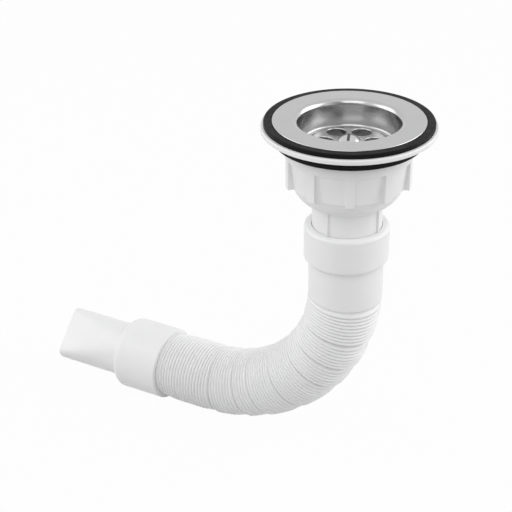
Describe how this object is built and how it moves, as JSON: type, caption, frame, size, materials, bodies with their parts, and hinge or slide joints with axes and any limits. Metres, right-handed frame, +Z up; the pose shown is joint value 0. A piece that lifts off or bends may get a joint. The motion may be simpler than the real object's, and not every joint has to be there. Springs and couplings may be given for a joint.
{
  "type": "flexible sink drain hose",
  "caption": "Sink strainer waste with a steel dish, black gaskets, a ribbed white cup and a corrugated hose that turns down and away to a flattened outlet tail.",
  "frame": {"origin": "on the drain axis, at the plane where the sink's upper surface meets the underside of the sink gasket", "axes": "+Z up along the drain axis, -X the way the hose runs, XZ the plane of the hose's bend"},
  "size_m": [0.2352, 0.09, 0.204],
  "materials": {
    "dish_steel": "satin pressed stainless steel",
    "screw_steel": "bright turned stainless steel",
    "black_rubber": "moulded black rubber with a faint sheen",
    "white_plastic": "semi-matt moulded white polypropylene",
    "hose_plastic": "semi-matt blow-moulded white polypropylene"
  },
  "bodies": {
    "root": {"strainer_dish": "dish_steel", "centre_screw": "screw_steel", "dish_gasket": "black_rubber", "flanged_bush": "white_plastic", "sink_gasket": "black_rubber", "drain_cup": "white_plastic", "inlet_cuff": "white_plastic", "hose": "hose_plastic", "outlet_tail": "white_plastic"}
  },
  "joints": []
}
